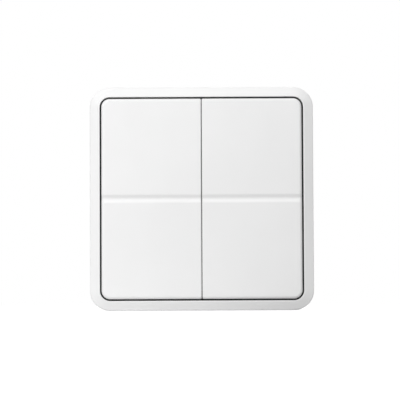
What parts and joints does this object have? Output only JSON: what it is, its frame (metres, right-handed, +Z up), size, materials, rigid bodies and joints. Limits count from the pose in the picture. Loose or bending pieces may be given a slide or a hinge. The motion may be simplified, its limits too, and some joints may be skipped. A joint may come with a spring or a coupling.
{
  "type": "wireless push button",
  "caption": "Flat square wall button: a bevelled frame round two tall rocker keys on a battery-powered radio switch, held by a wall plate with screw slots and an adhesive pad.",
  "frame": {"origin": "centre of the face that lies on the wall", "axes": "+Z up, +Y into the wall, so the front faces -Y, and +X to the right as seen from the front"},
  "size_m": [0.086, 0.014, 0.086],
  "materials": {
    "white_plastic": "satin, finely textured",
    "carrier_plastic": "matt",
    "housing_plastic": "matt",
    "foam": "matt foam",
    "circuit_board": "solder mask",
    "steel": "satin",
    "spring_steel": "bright",
    "tinned_metal": "tinned",
    "cell_steel": "bright",
    "ceramic": "matt",
    "switch_plastic": "matt",
    "plunger_plastic": "smooth"
  },
  "bodies": {
    "base": {"frame": "white_plastic", "key_carrier": "carrier_plastic", "rear_housing": "housing_plastic", "wall_plate": "housing_plastic", "adhesive_pad": "foam", "circuit_board": "circuit_board", "radio_board": "circuit_board", "radio_shield": "steel", "crystal": "steel", "capacitors": "ceramic", "board_screws": "steel", "switch_terminals": "tinned_metal", "coin_cell": "cell_steel", "battery_clips": "spring_steel", "battery_contact": "spring_steel", "switch_base_upper_left": "switch_plastic", "switch_cover_upper_left": "steel", "switch_spring_upper_left": "spring_steel", "switch_base_upper_right": "switch_plastic", "switch_cover_upper_right": "steel", "switch_spring_upper_right": "spring_steel", "switch_base_lower_left": "switch_plastic", "switch_cover_lower_left": "steel", "switch_spring_lower_left": "spring_steel", "switch_base_lower_right": "switch_plastic", "switch_cover_lower_right": "steel", "switch_spring_lower_right": "spring_steel"},
    "left_key": {"key_left": "white_plastic"},
    "right_key": {"key_right": "white_plastic"},
    "upper_left_plunger": {"switch_plunger_upper_left": "plunger_plastic"},
    "upper_right_plunger": {"switch_plunger_upper_right": "plunger_plastic"},
    "lower_left_plunger": {"switch_plunger_lower_left": "plunger_plastic"},
    "lower_right_plunger": {"switch_plunger_lower_right": "plunger_plastic"}
  },
  "joints": [
    {"name": "left_key_tilt", "type": "hinge", "parent": "base", "child": "left_key", "pos_m": [-0.01937, -0.0115, 0], "axis": [1, 0, 0], "range_deg": [-1.6, 1.6], "stiffness_Nm_per_rad": 1.2},
    {"name": "right_key_tilt", "type": "hinge", "parent": "base", "child": "right_key", "pos_m": [0.01937, -0.0115, 0], "axis": [1, 0, 0], "range_deg": [-1.6, 1.6], "stiffness_Nm_per_rad": 1.2},
    {"name": "upper_left_plunger_travel", "type": "slide", "parent": "base", "child": "upper_left_plunger", "axis": [0, 1, 0], "range_m": [-0.00056, 0.00056], "deforming": ["switch_spring_upper_left"]},
    {"name": "upper_right_plunger_travel", "type": "slide", "parent": "base", "child": "upper_right_plunger", "axis": [0, 1, 0], "range_m": [-0.00056, 0.00056], "deforming": ["switch_spring_upper_right"]},
    {"name": "lower_left_plunger_travel", "type": "slide", "parent": "base", "child": "lower_left_plunger", "axis": [0, 1, 0], "range_m": [-0.00056, 0.00056], "deforming": ["switch_spring_lower_left"]},
    {"name": "lower_right_plunger_travel", "type": "slide", "parent": "base", "child": "lower_right_plunger", "axis": [0, 1, 0], "range_m": [-0.00056, 0.00056], "deforming": ["switch_spring_lower_right"]}
  ],
  "couplings": [
    {"joint": "upper_left_plunger_travel", "follows": "left_key_tilt", "m_per_rad": -0.02},
    {"joint": "upper_right_plunger_travel", "follows": "right_key_tilt", "m_per_rad": -0.02},
    {"joint": "lower_left_plunger_travel", "follows": "left_key_tilt", "m_per_rad": 0.02},
    {"joint": "lower_right_plunger_travel", "follows": "right_key_tilt", "m_per_rad": 0.02}
  ]
}
